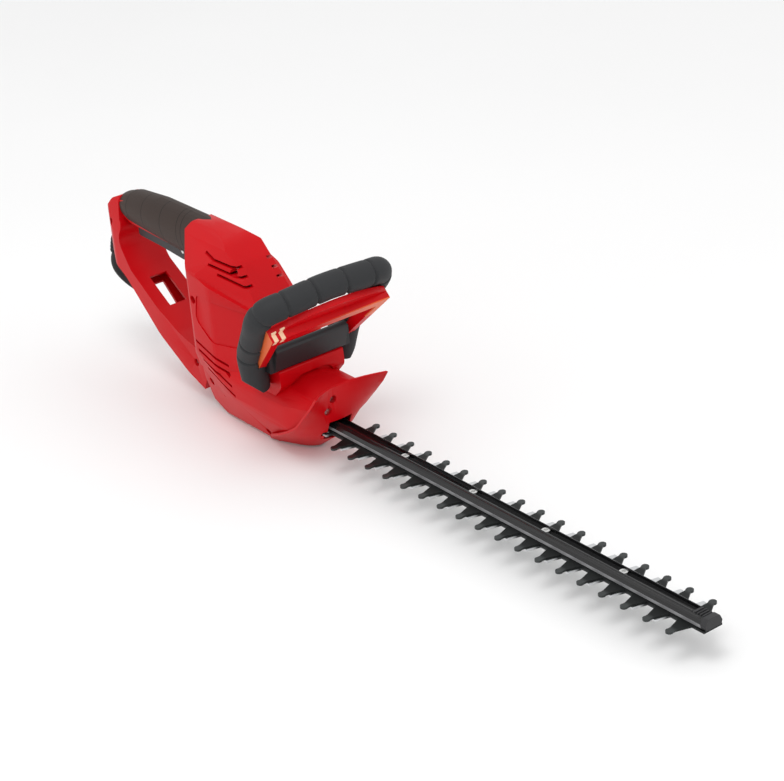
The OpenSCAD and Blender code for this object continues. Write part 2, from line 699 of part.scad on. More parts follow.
module cable_gland() color([0.09, 0.09, 0.09]) place() gland_frame() {
  rotate_extrude() polygon([
    [0, -11.5], [gland_r - 1.5, -11.5], [gland_r - 1.5, 12], [gland_r + 1.5, 12], [gland_r + 1.5, 15], [gland_r, 15],
    [gland_r, 17], [gland_r + 1, 17], [gland_r + 1, 20], [gland_r - 0.6, 20], [gland_r - 0.6, 22], [gland_r + 0.4, 22],
    [gland_r + 0.4, 25], [gland_r - 1.2, 25], [gland_r - 1.2, 27], [gland_r - 0.4, 27], [gland_r - 0.4, 30], [0, 30]]);
}

// Route of the pigtail from the gland's mouth to the plug
cord_floor = cord_d / 2 - blade_z;
cord_route = [
  cord_start, [-412, 0, 64], [-416, 2, 54], [-417, 6, 44], [-415, 13, 33], [-409, 22, 22], [-400, 32, 10],
  [-389, 42, -2], [-376, 51, -13], [-361, 58, -21], [-344, 64, -25.3], [-326, 70, cord_floor], [-307, 76, cord_floor],
  [-286, 81, cord_floor], [-264, 85, cord_floor], [-242, 88, cord_floor]
];
module mains_cord() color([0.1, 0.1, 0.1]) place() sweep(smooth(cord_route, 3), cord_d / 2, 10);

plug_at = cord_route[len(cord_route) - 1];
plug_l = 46;
// The pins' thinner root inside the plug, and how far it shows
pin_root_l = 8;
pin_root_r = 1.8;
pin_neck = 0.5;
module plug() color([0.1, 0.1, 0.1]) place()
  translate(plug_at) difference() {
    union() {
      rotate([0, 90, 0]) cylinder(r = cord_d / 2, h = 12);
      translate([10, 0, 0]) linear_extrude(2 * cord_d / 2, center = true)
        polygon(outline([[0, -7, 3], [14, -16, 10], [plug_l - 10, -16, 3], [plug_l - 10, 16, 3], [14, 16, 10], [0, 7, 3]]));
    }
    for (s = [-1, 1]) translate([plug_l - pin_root_l, s * pin_spacing / 2, 0]) rotate([0, 90, 0]) cylinder(r = pin_root_r, h = 20);
  }
module plug_pins() color([0.75, 0.7, 0.6]) place()
  for (s = [-1, 1]) translate(plug_at + [plug_l - pin_root_l, s * pin_spacing / 2, 0]) rotate([0, 90, 0]) {
    cylinder(r = pin_root_r, h = pin_root_l + pin_neck);
    translate([0, 0, pin_root_l + pin_neck]) cylinder(r = pin_r, h = pin_l - pin_neck);
  }

module cord_clamp() color([0.15, 0.15, 0.15]) place()
  translate([-366.5, 0, 131]) difference() {
    cube([10, 18, 5], center = true);
    for (s = [-1, 1]) translate([0, s * 6.5, 0]) cylinder(r = 1.5, h = 10, center = true);
  }

wire_route = [[-356, 9, 138], [-332, 9, 140], [-300, 9, 140.5], [-262, 9, 140], [-236, 8.5, 139], [-214, 5, 137], [-196.3, 3.5, 136]];
module wiring() color([0.1, 0.3, 0.7]) place()
  for (s = [0, 1]) mirror([0, s, 0]) sweep(smooth(wire_route, 4), 1.3, 8);

// ---------------------------------------------------------------- motor

module motor_stator() color([0.5, 0.5, 0.52]) place()
  translate([motor_x, 0, stator_z]) {
    linear_extrude(stator_h) {
      difference() {
        circle(r = stator_r);
        circle(r = stator_r - 5);
      }
      for (s = [-1, 1]) intersection() {
        difference() {
          circle(r = stator_r - 4);
          circle(r = bore_r);
        }
        union() {
          translate([s * stator_r / 2, 0]) square([stator_r, 2 * pole_half_w], center = true);
          translate([s * 10, 0]) intersection() {
            square([40, 34], center = true);
            translate([-s * 10, 0]) circle(r = bore_r + 2.5);
          }
        }
      }
    }
  }
pole_half_w = 9;

// Rectangular field windings that wrap each pole behind its shoe
module field_coils() color([0.72, 0.35, 0.15]) place()
  for (s = [-1, 1]) intersection() {
    translate([motor_x, 0, stator_z - 6]) difference() {
      cylinder(r = stator_r - 5.3, h = stator_h + 12);
      translate([0, 0, -1]) cylinder(r = bore_r + 2.8, h = stator_h + 14);
      translate([-stator_r, -pole_half_w - 0.3, 5.7]) cube([2 * stator_r, 2 * pole_half_w + 0.6, stator_h + 0.6]);
    }
    translate([motor_x + s * 20, 0, stator_z + stator_h / 2]) cube([30, 32, stator_h + 13], center = true);
  }

armature_r = bore_r - 0.7;
slots = 12;
module armature() color([0.55, 0.55, 0.56]) place()
  translate([motor_x, 0, stator_z]) difference() {
    union() {
      linear_extrude(stator_h) difference() {
        circle(r = armature_r);
        for (k = [0 : slots - 1]) rotate(360 / slots * k) translate([armature_r - 2.2, 0]) square([5, 2], center = true);
      }
      translate([0, 0, -7]) cylinder(r = armature_r - 4, h = 7);
      translate([0, 0, stator_h]) cylinder(r = armature_r - 4, h = 8);
    }
    translate([0, 0, -20]) cylinder(r = shaft_r, h = stator_h + 40);
  }

module motor_shaft() color("silver") place()
  translate([motor_x, 0, gear_z - 0.5]) cylinder(r = shaft_r, h = shaft_top - gear_z);

module commutator() color([0.8, 0.5, 0.25]) place()
  translate([motor_x, 0, comm_z]) difference() {
    linear_extrude(comm_h) difference() {
      circle(r = comm_r);
      for (k = [0 : slots - 1]) rotate(360 / slots * (k + 0.5)) translate([comm_r, 0]) square([1.6, 0.7], center = true);
    }
    translate([0, 0, -1]) cylinder(r = shaft_r, h = comm_h + 2);
  }

module cooling_fan() color([0.12, 0.12, 0.12]) place()
  translate([motor_x, 0, fan_z]) difference() {
    union() {
      cylinder(r = stator_r + 1, h = 1.6);
      cylinder(r = shaft_r + 4, h = fan_h);
      for (k = [0 : 10]) rotate(360 / 11 * k) translate([12, -0.7, 0]) cube([stator_r - 11, 1.4, fan_h]);
    }
    translate([0, 0, -1]) cylinder(r = shaft_r, h = fan_h + 2);
  }

brush_z = comm_z + comm_h / 2;
module carbon_brushes() color([0.2, 0.2, 0.2]) place()
  for (s = [-1, 1]) translate([motor_x, s * (comm_r + 0.3 + 6), brush_z]) cube([6, 12, 8], center = true);
module brush_holders() color([0.75, 0.6, 0.2]) place()
  for (s = [-1, 1]) translate([motor_x, s * (comm_r + 10), brush_z]) difference() {
    cube([9, 15, 11], center = true);
    translate([0, -s * 2, 0]) cube([6, 15, 8], center = true);
  }

// Ball bearings: two rings with balls between them
module ball_bearing(z) translate([motor_x, 0, z]) {
  difference() {
    cylinder(r = bearing_r, h = bearing_w);
    translate([0, 0, -1]) cylinder(r = bearing_r - 2.2, h = bearing_w + 2);
  }
  difference() {
    cylinder(r = shaft_r + 2, h = bearing_w);
    translate([0, 0, -1]) cylinder(r = shaft_r + run, h = bearing_w + 2);
  }
  for (k = [0 : 6]) rotate(360 / 7 * k)
    translate([(bearing_r + shaft_r) / 2 - 0.1, 0, bearing_w / 2]) sphere(r = (bearing_r - shaft_r) / 2 - 2.15);
}
module rear_bearing() color("silver") place() ball_bearing(rear_bearing_z);
module front_bearing() color("silver") place() ball_bearing(front_bearing_z);

// ---------------------------------------------------------------- gears

function involute(rb, a) = [rb * (cos(a) + a * PI / 180 * sin(a)), rb * (sin(a) - a * PI / 180 * cos(a))];
function turned(p, a) = [p[0] * cos(a) - p[1] * sin(a), p[0] * sin(a) + p[1] * cos(a)];
// Outline of a spur gear with z teeth, thinned by a little backlash
function gear_outline(z, m, slack) =
  let (rp = m * z / 2, rb = rp * cos(pressure_angle), ra = rp + 0.9 * m, rf = rp - 1.15 * m,
       inv = tan(pressure_angle) * 180 / PI - pressure_angle,
       half = 90 / z - slack / rp * 90 / PI + inv,
       a_end = sqrt(pow(ra / rb, 2) - 1) * 180 / PI,
       a_start = rf > rb ? sqrt(pow(rf / rb, 2) - 1) * 180 / PI : 0)
  [for (t = [0 : z - 1]) each concat(
    rf < rb ? [turned([rf, 0], 360 / z * t - half)] : [],
    [for (k = [0 : 3]) turned(involute(rb, a_start + (a_end - a_start) * k / 3), 360 / z * t - half)],
    [for (k = [3 : -1 : 0]) let (q = involute(rb, a_start + (a_end - a_start) * k / 3))
      turned([q[0], -q[1]], 360 / z * t + half)],
    rf < rb ? [turned([rf, 0], 360 / z * t + half)] : [])];

gear_slack = 0.16;
module pinion() color("silver") place()
  translate([motor_x, 0, gear_z]) difference() {
    linear_extrude(gear_w) rotate(180 / pinion_teeth) polygon(gear_outline(pinion_teeth, gear_module, gear_slack));
    translate([0, 0, -1]) cylinder(r = shaft_r, h = gear_w + 2);
  }

module drive_gear() color([0.5, 0.5, 0.52]) place()
  translate([gear_x, 0, gear_z]) difference() {
    union() {
      linear_extrude(gear_w) rotate(gear_teeth % 2 == 0 ? 180 : 180 + 180 / gear_teeth)
        polygon(gear_outline(gear_teeth, gear_module, gear_slack));
      translate([0, 0, rod_z - gear_z]) cylinder(r = hub_r, h = gear_z - rod_z);
    }
    translate([0, 0, rod_z - gear_z - 1]) cylinder(r = shaft_r + run, h = 40);
    for (k = [0 : 4]) rotate(72 * k + 36) translate([gear_module * gear_teeth / 3.2, 0, -1]) cylinder(r = 4.5, h = gear_w + 2);
  }

module gear_axle() color("silver") place()
  translate([gear_x, 0, cover_z + 0.5]) cylinder(r = shaft_r, h = plate_z + plate_t - cover_z - 1);

module eccentric() color([0.62, 0.62, 0.64]) place()
  translate([gear_x, 0, rod_z]) difference() {
    union() {
      translate([throw, 0, 0]) cylinder(r = ecc_r, h = rod_t);
      translate([throw, 0, rod_t + 0.2]) cylinder(r = ecc_r + 1.5, h = 0.8);
      translate([throw, 0, rod_t]) cylinder(r = ecc_r - 1, h = 0.4);
    }
    translate([0, 0, -1]) cylinder(r = hub_r, h = rod_t + 3);
  }

module con_rod() color([0.4, 0.4, 0.42]) place()
  difference() {
    union() {
      translate([gear_x + throw, 0, rod_z]) cylinder(r = ecc_r + 3.5, h = rod_t);
      translate([rod_end_x + throw, 0, rod_z]) cylinder(r = rod_pin_r + 4, h = rod_t);
      translate([gear_x + throw, -5, rod_z]) cube([rod_l, 10, rod_t]);
    }
    translate([gear_x + throw, 0, rod_z - 1]) cylinder(r = ecc_r + run, h = rod_t + 2);
    translate([rod_end_x + throw, 0, rod_z - 1]) cylinder(r = rod_pin_r, h = rod_t + 2);
  }

module con_rod_pin() color("silver") place()
  translate([rod_end_x + throw, 0, rod_z]) cylinder(r = rod_pin_r, h = -comb_top - 0.5 - rod_z);

// Gearbox: plate with bearing boss above, cover with posts below
gear_screws = [[gear_x - 50, 22], [gear_x + 29, 22.5]];
screw_head_h = 1.4;
gear_screw_r = 1.6;
// Outline shared by the gearbox plate and cover, drawn in where the front cover wraps round it
gearbox_shape = both_sides([[28, -60, 3], [28, 28, 3], [25, 36, 3], [8, 56, 3]]);
module gearbox_slab(z, t)
  translate([gear_x, 0, z]) linear_extrude(t) rotate(-90) mirror([1, 0]) polygon(outline(gearbox_shape));
module at_gear_screws() for (g = gear_screws) for (s = [-1, 1]) translate([g[0], s * g[1], 0]) children();

module gearbox_plate() color([0.7, 0.71, 0.73]) place()
  difference() {
    union() {
      gearbox_slab(plate_z, plate_t);
      translate([motor_x, 0, plate_z]) cylinder(r = bearing_r + 3, h = front_bearing_z + bearing_w - plate_z);
    }
    translate([motor_x, 0, plate_z - 1]) cylinder(r = shaft_r + 2.5, h = 10);
    translate([motor_x, 0, front_bearing_z]) cylinder(r = bearing_r, h = 10);
    translate([gear_x, 0, plate_z - 1]) cylinder(r = shaft_r, h = plate_t + 2);
    at_gear_screws() translate([0, 0, plate_z - 1]) cylinder(r = gear_screw_r, h = 10);
  }

module gearbox_cover() color([0.7, 0.71, 0.73]) place()
  difference() {
    union() {
      gearbox_slab(cover_z, cover_t);
      for (s = [-1, 1]) {
        translate([gear_screws[0][0], s * gear_screws[0][1], cover_z]) cylinder(r = 4, h = plate_z - cover_z);
        translate([gear_screws[1][0], s * gear_screws[1][1], cover_z]) cylinder(r = 3.5, h = -comb_top - cover_z);
      }
    }
    cover_room(cover_skin + 0.2);
    translate([gear_x, 0, cover_z - 1]) cylinder(r = shaft_r, h = cover_t + 2);
    at_gear_screws() translate([0, 0, cover_z - 1]) cylinder(r = gear_screw_r + run, h = 40);
  }

module gearbox_screws() color("silver") place()
  at_gear_screws() {
    translate([0, 0, cover_z]) cylinder(r = gear_screw_r, h = plate_z + plate_t - cover_z);
    translate([0, 0, cover_z - screw_head_h]) cylinder(r = 2.8, h = screw_head_h);
  }

// ---------------------------------------------------------------- blades

// Comb tooth from the spine outwards: wide foot, tapering neck, round knob
tooth_root = 7.9;
tooth_neck = 3;
knob_r = 3.4;
knob_y = tooth_reach - knob_r;
function knob(x, s) = [for (k = [0 : 8]) let (a = -30 + 30 * k) [x + knob_r * cos(a), s * (knob_y + knob_r * sin(a))]];
// Points in counter-clockwise order on either side
function ordered(p, s) = s > 0 ? p : [for (i = [len(p) - 1 : -1 : 0]) p[i]];
// A tooth at x on side s, whose end leans back by lean
function tooth(x, s, lean) = ordered(concat(
  [[x + tooth_root, s * (spine_half_w - 1)], [x + tooth_neck - lean * 0.8, s * (knob_y - 4)]],
  knob(x - lean, s),
  [[x - tooth_neck - lean * 0.8, s * (knob_y - 4)], [x - tooth_root, s * (spine_half_w - 1)]]), s);
comb_tail = -84;
tail_end = -50;
tail_half_w = 29;

module comb() color([0.16, 0.17, 0.17]) place()
  translate([0, 0, -comb_top]) difference() {
    linear_extrude(comb_t) {
      translate([comb_tail, -spine_half_w]) square([tip_x - 1 - comb_tail, 2 * spine_half_w]);
      translate([comb_tail, -tail_half_w]) square([tail_end - comb_tail, 2 * tail_half_w]);
      for (i = [0 : tooth_count - 1]) {
        polygon(tooth(i * tooth_pitch, -1, 0));
        polygon(tooth(i * tooth_pitch, 1, far_lean));
      }
    }
    for (x = bolt_xs) translate([x, 0, -1]) cylinder(r = bolt_d / 2 + run, h = comb_t + 2);
    at_gear_screws() translate([0, 0, -1]) cylinder(r = gear_screw_r + run, h = comb_t + 2);
  }

// Knife tooth: a short blade with a narrow tip
knife_lead = 3;
knife_lag = 7;
function knife_tooth(x, s, reach) = ordered([[x + 5.5, s * (spine_half_w - 2)], [x + 1.6, s * reach],
  [x - 1.6, s * reach], [x - 5.5, s * (spine_half_w - 2)]], s);
window_half_x = 2 * throw + rod_pin_r + 0.6;
window_half_y = throw + rod_pin_r + 0.6;
frame_half_y = window_half_y + 3;
knife_tail = rod_end_x - window_half_x - 3;
module knife() color([0.6, 0.61, 0.62]) place()
  translate([0, 0, knife_z]) difference() {
    linear_extrude(knife_t) {
      translate([rod_end_x, -spine_half_w + 1]) square([tip_x - 22 - rod_end_x, 2 * spine_half_w - 2]);
      translate([knife_tail, -frame_half_y]) square([2 * window_half_x + 6, 2 * frame_half_y]);
      for (i = [0 : tooth_count - 2]) {
        polygon(knife_tooth(i * tooth_pitch + knife_lead, -1, knife_reach - 3));
        polygon(knife_tooth((i + 1) * tooth_pitch - far_lean - knife_lag, 1, knife_reach));
      }
    }
    translate([rod_end_x - window_half_x, -window_half_y, -1]) cube([2 * window_half_x, 2 * window_half_y, knife_t + 2]);
    for (x = bolt_xs) translate([x, 0, -1]) linear_extrude(knife_t + 2) {
      square([2 * throw + 1, bolt_d + 0.6], center = true);
      for (e = [-1, 1]) translate([e * (throw + 0.5), 0]) circle(r = bolt_d / 2 + 0.3);
    }
  }

rail_tail = -64;
cap_l = 19;
module guide_rail() color([0.05, 0.05, 0.05]) place()
  difference() {
    front_slab(rail_tail, tip_x - 6) polygon(concat(
      [[-rail_w / 2, rail_z], [rail_w / 2, rail_z], [rail_w / 2, rail_z + 3.4], [rail_w / 2 - 1.3, rail_top - 2.6],
       [rail_w / 2 - 3, rail_top - 0.6], [rail_w / 2 - 3.8, rail_top], [rail_w / 2 - 4.6, rail_top],
       [rail_w / 2 - 4.6, rail_top - rail_channel]],
      [[-rail_w / 2 + 4.6, rail_top - rail_channel], [-rail_w / 2 + 4.6, rail_top], [-rail_w / 2 + 3.8, rail_top],
       [-rail_w / 2 + 3, rail_top - 0.6], [-rail_w / 2 + 1.3, rail_top - 2.6], [-rail_w / 2, rail_z + 3.4]]));
    for (x = bolt_xs) translate([x, 0, rail_z - 1]) cylinder(r = bolt_d / 2 + run, h = rail_h);
    translate([tip_x - cap_l, -rail_w / 2 + 3, rail_z + 2]) cube([cap_l, rail_w - 6, rail_h]);
  }

module clamp_strip() color([0.45, 0.46, 0.47]) place()
  translate([0, 0, strip_z]) difference() {
    translate([-16, -6, 0]) cube([tip_x - 24 + 16, 12, strip_t]);
    for (x = bolt_xs) translate([x, 0, -1]) cylinder(r = bolt_d / 2 + run, h = strip_t + 2);
  }

bolt_head_h = 2.2;
nut_h = 3;
module blade_bolts() color("silver") place()
  for (x = bolt_xs) translate([x, 0, 0]) {
    translate([0, 0, strip_z - nut_h - 0.6]) cylinder(r = bolt_d / 2, h = rail_top - rail_channel - strip_z + nut_h + 0.6);
    translate([0, 0, rail_top - rail_channel]) difference() {
      cylinder(r = 3.8, h = bolt_head_h);
      translate([0, 0, 0.9]) cylinder(r = 1.8, h = 3);
    }
  }
module blade_nuts() color("silver") place()
  for (x = bolt_xs) translate([x, 0, strip_z - nut_h]) difference() {
    cylinder(r = 4.6, h = nut_h, $fn = 6);
    translate([0, 0, -1]) cylinder(r = bolt_d / 2, h = nut_h + 2);
  }

module tip_cap() color([0.08, 0.08, 0.08]) place()
  difference() {
    union() {
      front_slab(tip_x - 6, tip_x) polygon(outline([[-rail_w / 2, comb_top + 0.2, 0], [rail_w / 2, comb_top + 0.2, 0],
        [rail_w / 2 + 1, rail_z + 4, 2], [rail_w / 2 - 2, rail_top, 2], [-rail_w / 2 + 2, rail_top, 2],
        [-rail_w / 2 - 1, rail_z + 4, 2]]));
      translate([tip_x - cap_l, -rail_w / 2 + 3.2, rail_z + 2.2]) cube([cap_l - 5, rail_w - 6.4, rail_h - 2.8]);
      for (k = [0 : 3]) translate([tip_x - cap_l + 2 + 3 * k, -rail_w / 2 + 3.6, rail_top - 0.8]) cube([1.4, rail_w - 7.2, 1.1]);
    }
  }

// ---------------------------------------------------------------- screws

module housing_screws() color("silver") place()
  for (s = screw_places) translate([s[0], 0, s[1]]) {
    translate([0, -screw_head_y(s) / 2 + 6, 0]) cross_pin(screw_r, screw_head_y(s) / 2 + 6);
    difference() {
      translate([0, -screw_head_y(s) - 1.2, 0]) cross_pin(head_r, 1.2);
      translate([0, -screw_head_y(s) - 2.6, 0]) cross_pin(1.5, 1);
    }
  }

module cover_screws() color("silver") place()
  for (c = cover_screw_at) translate([0, c[0], c[1]]) rotate([0, 90, 0]) {
    translate([0, 0, -48]) cylinder(r = screw_r, h = 48 + cover_seat_x);
    translate([0, 0, cover_seat_x]) cylinder(r = head_r, h = 1.8);
  }

housing_left();
housing_right();
front_cover();
rear_grip_cover();
housing_screws();
cover_screws();
handle_loop();
handle_crossbar();
handle_screws();
switch_bar();
bar_pins();
bar_spring();
rear_trigger();
trigger_pin();
trigger_spring();
rear_switch();
rear_plunger();
front_switch();
front_plunger();
capacitor();
wiring();
cord_clamp();
cable_gland();
mains_cord();
plug();
plug_pins();
motor_stator();
field_coils();
armature();
motor_shaft();
commutator();
cooling_fan();
carbon_brushes();
brush_holders();
rear_bearing();
front_bearing();
pinion();
gearbox_plate();
gearbox_cover();
gearbox_screws();
drive_gear();
gear_axle();
eccentric();
con_rod();
con_rod_pin();
knife();
comb();
guide_rail();
clamp_strip();
blade_bolts();
blade_nuts();
tip_cap();
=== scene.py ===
# %% [markdown]
# # A corded hedge trimmer, finished cell by cell
# The exact solids were designed elsewhere and arrive here as a fixed frame. Blender's work
# is what a draughtsman's solid lacks: softened moulding edges, a smooth rubber handle,
# a cord that lies like a cord, and a finish on every surface.

# %% Load the fixed frame
import json
import math

import bmesh
import bpy
from mathutils import Matrix, Vector


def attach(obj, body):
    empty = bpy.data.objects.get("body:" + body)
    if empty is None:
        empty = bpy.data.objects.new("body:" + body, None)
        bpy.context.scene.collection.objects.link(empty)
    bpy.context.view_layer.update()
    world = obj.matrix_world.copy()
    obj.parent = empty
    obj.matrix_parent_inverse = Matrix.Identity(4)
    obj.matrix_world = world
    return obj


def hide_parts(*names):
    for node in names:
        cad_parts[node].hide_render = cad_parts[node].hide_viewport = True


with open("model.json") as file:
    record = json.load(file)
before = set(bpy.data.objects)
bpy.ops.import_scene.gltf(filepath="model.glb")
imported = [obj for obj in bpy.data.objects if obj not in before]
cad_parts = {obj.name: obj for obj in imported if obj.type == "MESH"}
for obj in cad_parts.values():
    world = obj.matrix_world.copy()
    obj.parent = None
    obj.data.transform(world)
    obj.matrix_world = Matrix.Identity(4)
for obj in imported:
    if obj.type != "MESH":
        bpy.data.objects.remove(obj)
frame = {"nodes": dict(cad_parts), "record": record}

scene = bpy.context.scene
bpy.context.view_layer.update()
MM = 0.001
print("pieces in the frame:", len(frame["nodes"]))

# %% [markdown]
# ## Where things are
# The tool was drawn with X = 0 at the first blade tooth and Z = 0 in the blade. The frame
# stands on the floor instead, so one small shift turns drawing millimetres into metres.

# %% A drawing point in the frame
SHIFT = Vector((-32, 0, 30))


def at(x, y, z):
    """A point of the drawing, in millimetres, as a point of the frame, in metres."""
    return (Vector((x, y, z)) + SHIFT) * MM


print("first tooth:", at(0, 0, 0))

# %% [markdown]
# ## The camera
# A product picture is taken from far away with a long lens, which keeps the blade's teeth
# nearly the same size from end to end. The three directions below are the camera's own
# right, up and back, which are exactly the columns of its turn.

# %% Make the camera
camera_data = bpy.data.cameras.new("camera")
camera_data.sensor_width = 36
camera_data.lens = 107.58
camera_data.clip_end = 50
camera = bpy.data.objects.new("camera", camera_data)
scene.collection.objects.link(camera)
right, up, back = (0.61209, 0.78685, -0.07876), (-0.30646, 0.32784, 0.89365), (0.72899, -0.52286, 0.44180)
turn = Matrix((right, up, back)).transposed().to_4x4()
camera.matrix_world = Matrix.Translation(at(1589.04, -1095.75, 996.54)) @ turn
scene.camera = camera
scene.view_settings.view_transform = "Standard"
print("lens", camera_data.lens)

# %% [markdown]
# ## Shader maths as Python
# A material is a graph of nodes, and sums in it are tedious to wire by hand. This class
# wraps one output socket and overloads the operators, so that `1 - mask` adds its own
# Math node. Any other node comes from `Finish.node`.

# %% Sockets that can be added up
class Socket:
    """An output socket that can be used in a sum."""

    def __init__(self, finish, socket):
        self.finish, self.socket = finish, socket

    def _math(self, operation, *values):
        return self.finish.node("ShaderNodeMath", {"operation": operation}, dict(enumerate(values)))

    def __add__(self, other): return self._math("ADD", self, other)
    def __radd__(self, other): return self._math("ADD", other, self)
    def __sub__(self, other): return self._math("SUBTRACT", self, other)
    def __rsub__(self, other): return self._math("SUBTRACT", other, self)
    def __mul__(self, other): return self._math("MULTIPLY", self, other)
    def __rmul__(self, other): return self._math("MULTIPLY", other, self)
    def __truediv__(self, other): return self._math("DIVIDE", self, other)
    def __gt__(self, other): return self._math("GREATER_THAN", self, other)
    def __lt__(self, other): return self._math("LESS_THAN", self, other)
    def absolute(self): return self._math("ABSOLUTE", self)
    def sine(self): return self._math("SINE", self)

    def between(self, low, high):
        return (self > low) * (self < high)

    def ramp(self, low, high):
        """0 at low, 1 at high and clamped outside."""
        return self.finish.node("ShaderNodeMapRange", {"clamp": True}, {0: self, 1: low, 2: high})


class Finish:
    """One procedural material on Object coordinates."""

    def __init__(self, name, rough, metallic=0.0, coat=0.0, coat_rough=0.1, shine=0.5):
        self.material = bpy.data.materials.new(name)
        self.material.use_nodes = True
        self.tree = self.material.node_tree
        self.shader = self.tree.nodes["Principled BSDF"]
        self.shader.inputs["Roughness"].default_value = rough
        self.shader.inputs["Metallic"].default_value = metallic
        self.shader.inputs["Coat Weight"].default_value = coat
        self.shader.inputs["Coat Roughness"].default_value = coat_rough
        self.shader.inputs["Specular IOR Level"].default_value = shine
        self.place = self.node("ShaderNodeTexCoord", output="Object")

    def node(self, kind, settings=None, values=None, output=0):
        made = self.tree.nodes.new(kind)
        for key, value in (settings or {}).items():
            setattr(made, key, value)
        for key, value in (values or {}).items():
            if isinstance(value, Socket):
                self.tree.links.new(value.socket, made.inputs[key])
            else:
                made.inputs[key].default_value = value
        return Socket(self, made.outputs[output])

    def feed(self, name, value):
        self.tree.links.new(value.socket, self.shader.inputs[name])

    def axes(self):
        parts = self.tree.nodes.new("ShaderNodeSeparateXYZ")
        self.tree.links.new(self.place.socket, parts.inputs[0])
        return [Socket(self, parts.outputs[i]) for i in range(3)]

    def normal_axes(self):
        parts = self.tree.nodes.new("ShaderNodeSeparateXYZ")
        normal = self.node("ShaderNodeNewGeometry", output="Normal")
        self.tree.links.new(normal.socket, parts.inputs[0])
        return [Socket(self, parts.outputs[i]) for i in range(3)]

    def noise(self, size, detail=3.0, stretch=None):
        """Noise whose lumps are about size metres across."""
        place = self.place
        if stretch:
            place = self.node("ShaderNodeMapping", values={0: place, 3: stretch})
        return self.node("ShaderNodeTexNoise", values={0: place, "Scale": 1 / size, "Detail": detail})

    def blend(self, share, first, second):
        """A colour between two colours, each a triple or a socket."""
        four = [c if isinstance(c, Socket) else (*c, 1) for c in (first, second)]
        mix = self.tree.nodes.new("ShaderNodeMix")
        mix.data_type = "RGBA"
        for key, value in zip((0, 6, 7), (share, *four)):
            if isinstance(value, Socket):
                self.tree.links.new(value.socket, mix.inputs[key])
            else:
                mix.inputs[key].default_value = value
        return Socket(self, mix.outputs[2])

    def bump(self, height, strength, distance=0.0003):
        normal = self.node("ShaderNodeBump", values={"Height": height, "Strength": strength, "Distance": distance})
        self.feed("Normal", normal)


print("shader tools ready")

# %% [markdown]
# ## Moulded plastics and rubber
# A moulded shell is never quite even: the tool's surface leaves a fine grain, and handling
# leaves it a little shinier in places. One maker covers all of them, with the size of the
# grain and its strength as values. The lumps are given in metres, so they stay true.

# %% Plastics
def plastic(name, colour, rough, grain, strength, spread=0.12, coat=0.0, shine=0.35):
    """Moulded plastic with fine grain and slow changes of tone and gloss."""
    f = Finish(name, rough, coat=coat, coat_rough=0.25, shine=shine)
    slow, fine = f.noise(0.035), f.noise(grain, 2.0)
    darker = tuple(c * (1 - spread) for c in colour)
    f.feed("Base Color", f.blend(slow, darker, colour))
    f.feed("Roughness", rough - 0.05 + slow * 0.06 + fine * 0.05)
    f.bump(fine, strength)
    return f


FINISHES = {
    "red_shell": plastic("red shell", (0.56, 0.0004, 0.004), 0.38, 0.0009, 0.10, shine=0.16),
    "black_plastic": plastic("black plastic", (0.022, 0.022, 0.024), 0.42, 0.0008, 0.2),
    "black_rubber": plastic("black rubber", (0.016, 0.016, 0.017), 0.62, 0.0006, 0.3),
    "button_red": plastic("plunger red", (0.45, 0.02, 0.02), 0.35, 0.0006, 0.1),
    "capacitor_yellow": plastic("dipped yellow", (0.62, 0.42, 0.05), 0.25, 0.003, 0.3),
    "wire_blue": plastic("lead insulation", (0.02, 0.07, 0.35), 0.4, 0.002, 0.1),
    "carbon": plastic("pressed carbon", (0.02, 0.02, 0.021), 0.7, 0.0003, 0.4),
}
print("plastics:", len(FINISHES))

# %% [markdown]
# ## Metals
# Ground, cast and drawn metal differ mostly in the direction and size of their marks. The
# marks are noise stretched along the way the metal was worked.

# %% Metals
def metal(name, colour, rough, grain, stretch=(1, 1, 1), strength=0.15, metallic=1.0):
    """Worked metal whose marks run along the axis with the smallest stretch."""
    f = Finish(name, rough, metallic)
    marks, slow = f.noise(grain, 4.0, stretch), f.noise(0.02)
    darker = tuple(c * 0.75 for c in colour)
    f.feed("Base Color", f.blend(marks, darker, colour))
    f.feed("Roughness", rough - 0.06 + marks * 0.12 + slow * 0.06)
    f.bump(marks, strength, 0.0002)
    return f


FINISHES["screw_steel"] = metal("zinc screw", (0.78, 0.78, 0.77), 0.22, 0.002)
FINISHES["gear_steel"] = metal("oiled gear steel", (0.34, 0.33, 0.32), 0.35, 0.0012, (1, 1, 3))
FINISHES["cast_alloy"] = metal("die cast alloy", (0.6, 0.6, 0.61), 0.48, 0.0007, strength=0.35)
FINISHES["brass"] = metal("pressed brass", (0.72, 0.53, 0.2), 0.28, 0.0015, (0.1, 1, 1))
print("metals:", len(FINISHES))

# %% [markdown]
# ## Motor finishes
# A stator is a stack of thin sheets, and a winding is hundreds of turns of lacquered wire.
# Neither is worth modelling inside a shell, but fine regular lines show what they are.

# %% Laminations and windings
def layered(name, light, dark, spacing, rough):
    """Metal in thin layers stacked along Z."""
    f = Finish(name, rough, 1.0)
    lines = (f.axes()[2] * (2 * math.pi / spacing)).sine() * 0.5 + 0.5
    f.feed("Base Color", f.blend(lines, dark, light))
    f.feed("Roughness", rough + f.noise(0.004) * 0.15)
    f.bump(lines, 0.3, 0.0002)
    return f


FINISHES["laminations"] = layered("stacked sheet", (0.42, 0.42, 0.44), (0.16, 0.16, 0.17), 0.0010, 0.42)
FINISHES["copper"] = layered("lacquered windings", (0.72, 0.30, 0.12), (0.35, 0.11, 0.04), 0.0014, 0.3)
print("motor finishes done")

# %% [markdown]
# ## Blades and rail
# The comb is blackened and the knife too, but both are ground at their cutting ends, where
# bright steel shows. The rail is painted gloss black, with a paler band along each side
# where its channel wall catches the light.

